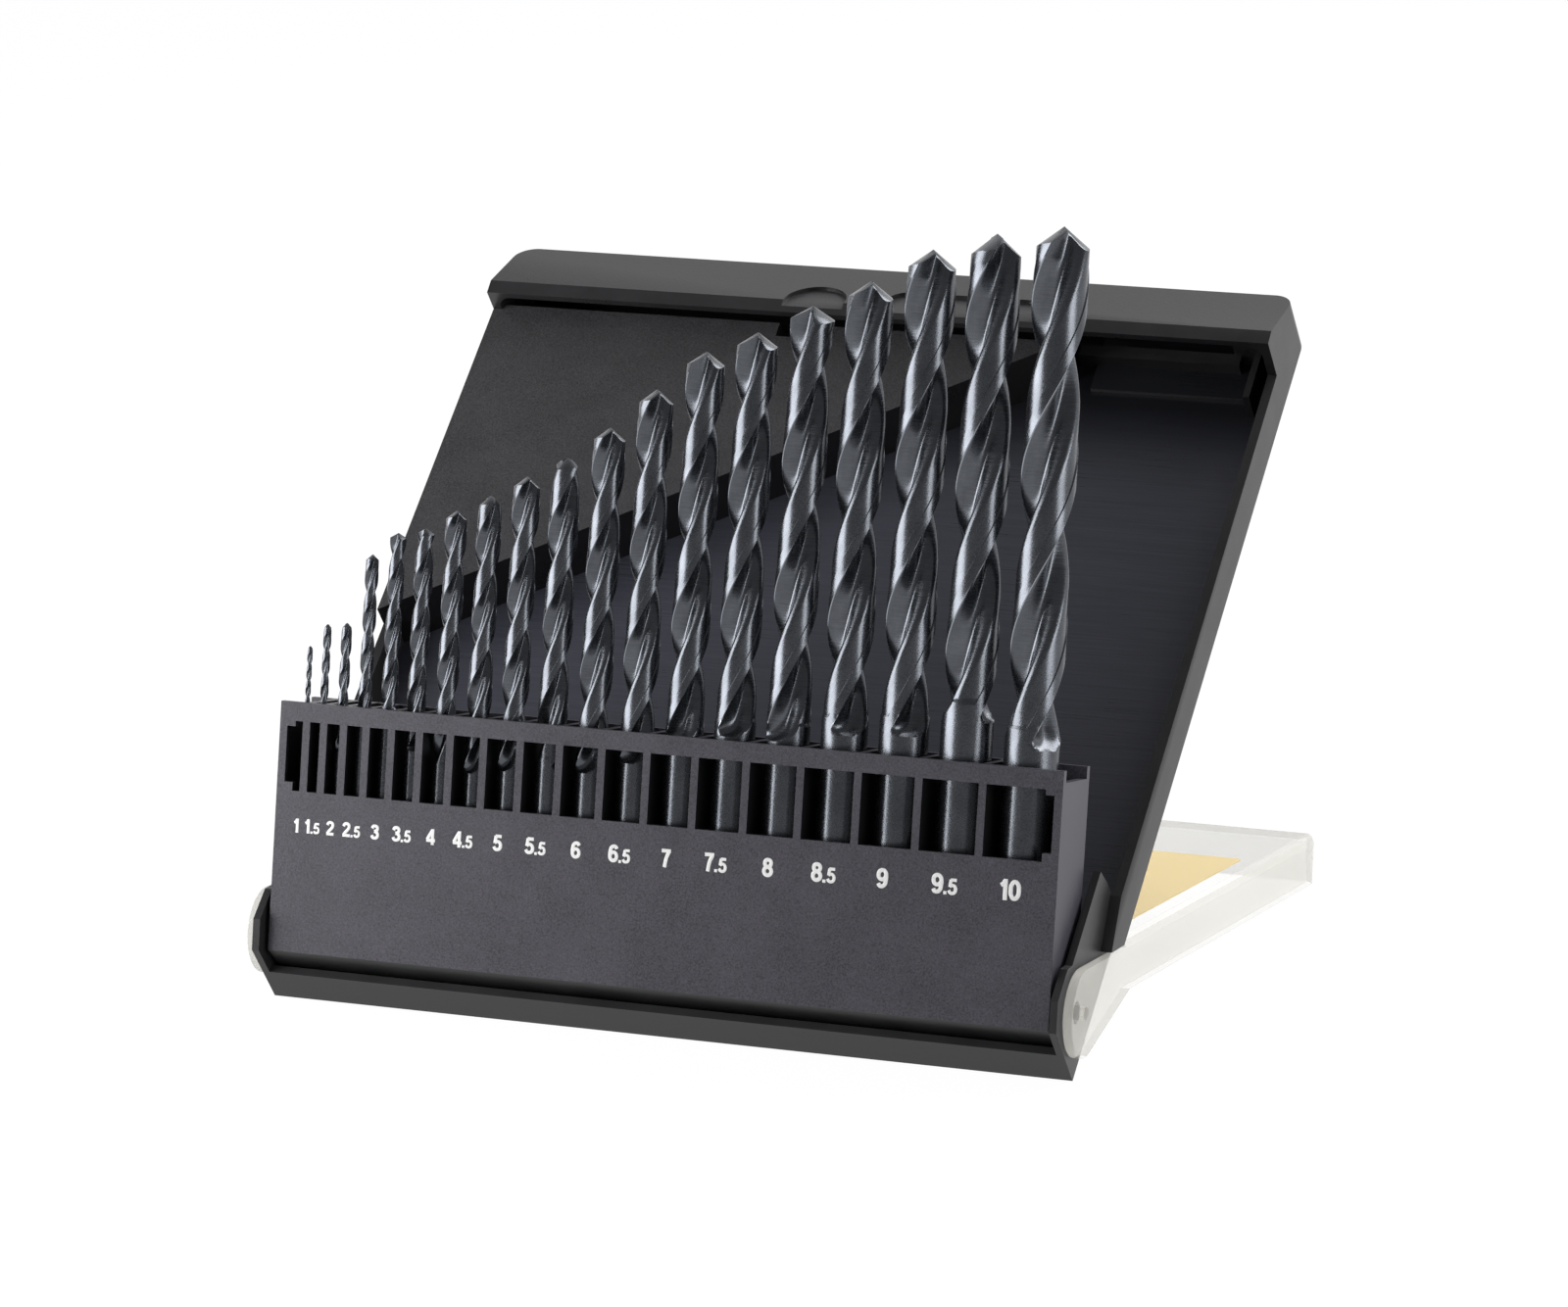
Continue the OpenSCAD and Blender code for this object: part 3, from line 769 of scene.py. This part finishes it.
class DRILLCASE_OT_rack(bpy.types.Operator):
    """Rounds and finishes the rack that holds the drills"""

    bl_idname = "drill_case.rack"
    bl_label = "Rack"

    def execute(self, context):
        colours, sizes = context.scene.drill_case_colours, context.scene.drill_case_sizes
        piece = whole_faced_copy("bit_rack", "rack_moulding")
        round_edges(piece, sizes.rack_round)
        materials = [
            grained_plastic("rack_grain", colours.rack, shine=0.32),
            satin_plastic("rack_satin", colours.rack, roughness=0.42, shine=0.32),
            # The last material is painted shade, for the faces inside the cells.
            satin_plastic("rack_painted_shade", colours.inside),
        ]
        front = (RACK.to_3x3() @ Vector((0, -1, 0))).normalized()
        into_rack = RACK.inverted()
        skin = min((into_rack @ vertex.co).y for vertex in piece.data.vertices) + 0.4 * MM
        end = max(vertex.co.x for vertex in piece.data.vertices) - 1 * MM

        def choose(face):
            if face.normal.dot(front) > 0.9:
                return 0
            # Painted shade: faces behind the front skin, inside the cells and away from the ends, get the
            # near-black inside colour unless they face up.
            inside = (into_rack @ face.center).y > skin and abs(face.center.x) < end
            return 2 if inside and face.normal.z < 0.5 else 1

        paint(piece, materials, choose)
        finish_piece(piece, "rack", "bit_rack")
        return {"FINISHED"}


class DRILLCASE_OT_lid(bpy.types.Operator):
    """Rounds and finishes the clear lid with its moulded-on pins"""

    bl_idname = "drill_case.lid"
    bl_label = "Clear Lid"

    def execute(self, context):
        colours, sizes = context.scene.drill_case_colours, context.scene.drill_case_sizes
        piece = whole_faced_copy("clear_lid", "lid_moulding")
        round_edges(piece, sizes.lid_round)
        materials = [
            milky_plastic("lid_walls", colours.clear, haze=0.21, slanted=0.34, roughness=0.16),
            milky_plastic("lid_face", colours.clear, haze=0.02, slanted=0.05, roughness=0.09),
        ]
        up = (LID.to_3x3() @ Vector((0, 0, 1))).normalized()
        paint(piece, materials, lambda face: 1 if abs(face.normal.dot(up)) > FACING else 0)
        finish_piece(piece, "lid", "clear_lid")
        return {"FINISHED"}


class DRILLCASE_OT_card(bpy.types.Operator):
    """Lays the bare yellow card under the lid's face"""

    bl_idname = "drill_case.card"
    bl_label = "Label Card"

    def execute(self, context):
        colours = context.scene.drill_case_colours
        into_lid = LID.inverted()
        corners = [into_lid @ vertex.co for vertex in frame["nodes"]["label_card"].data.vertices]
        low = Vector([min(c[k] for c in corners) for k in range(3)])
        high = Vector([max(c[k] for c in corners) for k in range(3)])
        bpy.ops.object.select_all(action="DESELECT")
        bpy.ops.mesh.primitive_plane_add(size=1)
        piece = context.object
        piece.name = "label_sheet"
        top = high.z - CARD_SINK
        piece.data.transform(
            Matrix.Translation(((low.x + high.x) / 2, (low.y + high.y) / 2, top))
            @ Matrix.Diagonal((high.x - low.x, high.y - low.y, 1, 1))
        )
        bpy.ops.object.mode_set(mode="EDIT")
        bpy.ops.mesh.select_mode(type="VERT")
        bpy.ops.mesh.select_all(action="SELECT")
        bpy.ops.mesh.bevel(offset=CARD_CORNER, segments=5, affect="VERTICES")
        bpy.ops.object.mode_set(mode="OBJECT")
        apply_modifier(piece, "SOLIDIFY", {"thickness": CARD_THICKNESS, "offset": -1})
        piece.data.transform(LID)
        paint(piece, [card("yellow_card", colours.card)], lambda face: 0)
        finish_piece(piece, "lid", "label_card")
        return {"FINISHED"}


class DRILLCASE_OT_drills(bpy.types.Operator):
    """Turns, flutes and grinds the nineteen twist drills"""

    bl_idname = "drill_case.drills"
    bl_label = "Twist Drills"

    def execute(self, context):
        colours, sizes = context.scene.drill_case_colours, context.scene.drill_case_sizes
        steel = oxide_steel("black_oxide_steel", colours.steel)
        for size in DRILLS:
            piece = TwistDrill(size, sizes).build()
            piece.data.materials.append(steel)
            finish_piece(piece, "drill_" + size, "drill_" + size)
        return {"FINISHED"}


class DRILLCASE_OT_numbers(bpy.types.Operator):
    """Prints the size numbers under the windows of the rack"""

    bl_idname = "drill_case.numbers"
    bl_label = "Size Numbers"

    def execute(self, context):
        colours, sizes = context.scene.drill_case_colours, context.scene.drill_case_sizes
        corners = [RACK.inverted() @ v.co for v in frame["nodes"]["bit_rack"].data.vertices]
        front = min(corner.y for corner in corners)
        top = max(corner.z for corner in corners)
        strokes = bpy.data.curves.new("size_numbers", "CURVE")
        strokes.dimensions = "3D"
        strokes.resolution_u = 5
        strokes.bevel_depth = FIGURE_STROKE
        strokes.bevel_resolution = 2
        strokes.use_fill_caps = True
        for order, size in enumerate(DRILLS):
            share = order / (len(DRILLS) - 1)
            height = sizes.small_number + (sizes.large_number - sizes.small_number) * share ** 1.2
            low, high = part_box("drill_" + size)
            middle = (low.x + high.x) / 2 + NUMBER_SHIFT * MM * (1 - share)
            foot = top - (NUMBER_LINE - NUMBER_RISE * share) * MM - height / 2
            whole, half = size.split("_")
            tail = ".5" if half == "5" else ""
            tail_height = TAIL_SIZE * height
            x = middle - (self.width(whole, height) + self.width(tail, tail_height)) / 2
            self.set_type(strokes, whole, height, x, foot)
            self.set_type(strokes, tail, tail_height, x + self.width(whole, height), foot)
        piece = bpy.data.objects.new("size_numbers", strokes)
        bpy.context.scene.collection.objects.link(piece)
        work_on(piece)
        bpy.ops.object.convert(target="MESH")
        piece = bpy.context.object
        depth = max(v.co.z for v in piece.data.vertices)
        piece.data.transform(
            RACK @ Matrix.Translation((0, front - INK_LIFT, 0))
            @ Matrix.Rotation(math.pi / 2, 4, "X")
            @ Matrix.Diagonal((1, 1, INK_THICKNESS / depth, 1))
        )
        paint(piece, [printed_ink("white_ink", colours.ink)], lambda face: 0)
        finish_piece(piece, "rack", None)
        return {"FINISHED"}

    def width(self, words, height):
        return height * sum(FIGURE_WIDTHS.get(figure, FIGURE_WIDTH) for figure in words)

    def set_type(self, strokes, words, height, x, foot):
        """Draws words as bold strokes that stand on the line at foot."""
        for figure in words:
            for points, closed in FIGURES[figure]:
                spline = strokes.splines.new("BEZIER")
                spline.bezier_points.add(len(points) - 1)
                spline.use_cyclic_u = closed
                for knot, (across, up) in zip(spline.bezier_points, points):
                    knot.co = (x + across * height, foot + up * height, 0)
                    knot.handle_left_type = knot.handle_right_type = "AUTO"
                    knot.radius = height
            x += self.width(figure, height)


class DRILLCASE_OT_stage(bpy.types.Operator):
    """Adds the pale floor, the soft lights and the camera"""

    bl_idname = "drill_case.stage"
    bl_label = "Stage"

    def execute(self, context):
        self.floor()
        self.world()
        self.softbox("left_softbox", side=-56, distance=0.42, width=0.34, power=2.1)
        self.softbox("right_softbox", side=76, distance=1.3, width=0.6, power=4.9)
        self.back_light()
        self.camera()
        context.scene.view_settings.view_transform = "Standard"
        return {"FINISHED"}

    def rays(self, sheet, kind):
        return sheet.node("LightPath", output="Is " + kind + " Ray")

    def floor(self):
        bpy.ops.object.select_all(action="DESELECT")
        bpy.ops.mesh.primitive_plane_add(size=16, location=(0, 0, 0))
        floor = bpy.context.object
        floor.name = "floor"
        material = bpy.data.materials.new("pale_floor")
        material.use_nodes = True
        sheet = Sheet(material.node_tree)
        seen = self.rays(sheet, "Camera").most(self.rays(sheet, "Glossy"))
        seen = seen.most(self.rays(sheet, "Transmission"))
        paper = sheet.node("BsdfDiffuse", {}, {"Color": (0.6, 0.6, 0.6, 1)})
        white = sheet.node("Emission", {}, {"Color": (1, 1, 1, 1), "Strength": 1.05})
        shader = sheet.node("MixShader", {}, {0: seen * 0.93, 1: paper, 2: white})
        sheet.node("OutputMaterial", {}, {"Surface": shader})
        floor.data.materials.append(material)

    def world(self):
        """White for the camera, a backdrop under a dark ceiling for gloss, dim for the rest."""
        world = bpy.data.worlds.new("studio")
        bpy.context.scene.world = world
        world.use_nodes = True
        sheet = Sheet(world.node_tree)
        direction = sheet.node("TexCoord", output="Generated")
        back = sheet.node("SeparateXYZ", {}, {"Vector": direction}, output="Y")
        height = sheet.node("SeparateXYZ", {}, {"Vector": direction}, output="Z")
        backdrop = sheet.ramp(back * 0.5 + 0.5, 0.42, 0.62) * (1 - sheet.ramp(height, 0.5, 0.85))
        white = self.rays(sheet, "Camera").most(self.rays(sheet, "Transmission"))
        gloss = self.rays(sheet, "Glossy") * (0.1 + backdrop * 0.9)
        strength = white.most(gloss).most(0.24)
        light = sheet.node("Background", {}, {"Color": (1, 1, 1, 1), "Strength": strength})
        sheet.node("OutputWorld", {}, {"Surface": light})

    def softbox(self, name, side, distance, width, power):
        """An upright soft light on the floor, side degrees round from the front."""
        around = math.radians(side)
        height = 0.72 * width
        place = Vector((math.sin(around), -math.cos(around), 0)) * distance
        place.z = height / 2
        self.lamp(name, place, Vector((0, 0, place.z)), width, height, power)

    def back_light(self):
        """A soft light above the back, for what the leaning shell keeps from the softboxes."""
        self.lamp(
            "back_light", Vector((0.6, 0.75, 1.05)), Vector((0, 0, 0)),
            width=0.9, height=0.9, power=17.5,
        )

    def lamp(self, name, place, target, width, height, power):
        bpy.ops.object.select_all(action="DESELECT")
        bpy.ops.object.light_add(type="AREA", location=place)
        lamp = bpy.context.object
        lamp.name = name
        lamp.data.shape = "RECTANGLE"
        lamp.data.size = width
        lamp.data.size_y = height
        lamp.data.energy = power
        lamp.visible_camera = False
        lamp.rotation_euler = (target - place).to_track_quat("-Z", "Y").to_euler()

    def camera(self):
        bpy.ops.object.select_all(action="DESELECT")
        place = HINGE + Vector(CAMERA_PLACE) * MM
        turn = (math.radians(90 - CAMERA_DOWN), 0, math.radians(CAMERA_LEFT))
        bpy.ops.object.camera_add(location=place, rotation=turn)
        camera = bpy.context.object
        camera.name = "photo_camera"
        camera.data.lens = CAMERA_LENS
        camera.data.sensor_width = 36
        bpy.context.scene.camera = camera


class DRILLCASE_PT_panel(bpy.types.Panel):
    """Lists the pieces of the case, and their sizes and colours"""

    bl_idname = "DRILLCASE_PT_panel"
    bl_label = "Drill Case"
    bl_space_type = "VIEW_3D"
    bl_region_type = "UI"
    bl_category = "Drill Case"

    def draw(self, context):
        for group in (context.scene.drill_case_sizes, context.scene.drill_case_colours):
            column = self.layout.column(align=True)
            for name in group.__annotations__:
                column.prop(group, name)
        column = self.layout.column(align=True)
        for operator in OPERATORS:
            column.operator(operator.bl_idname)


OPERATORS = (
    DRILLCASE_OT_shell,
    DRILLCASE_OT_rack,
    DRILLCASE_OT_lid,
    DRILLCASE_OT_card,
    DRILLCASE_OT_drills,
    DRILLCASE_OT_numbers,
    DRILLCASE_OT_stage,
)
CLASSES = (DrillCaseColours, DrillCaseSizes, *OPERATORS, DRILLCASE_PT_panel)


def register():
    for each in CLASSES:
        bpy.utils.register_class(each)
    bpy.types.Scene.drill_case_colours = PointerProperty(type=DrillCaseColours)
    bpy.types.Scene.drill_case_sizes = PointerProperty(type=DrillCaseSizes)


def unregister():
    del bpy.types.Scene.drill_case_sizes
    del bpy.types.Scene.drill_case_colours
    for each in reversed(CLASSES):
        bpy.utils.unregister_class(each)


def main():
    register()
    bpy.ops.drill_case.shell()
    bpy.ops.drill_case.rack()
    bpy.ops.drill_case.lid()
    bpy.ops.drill_case.card()
    bpy.ops.drill_case.drills()
    bpy.ops.drill_case.numbers()
    bpy.ops.drill_case.stage()


if __name__ == "__main__":
    main()
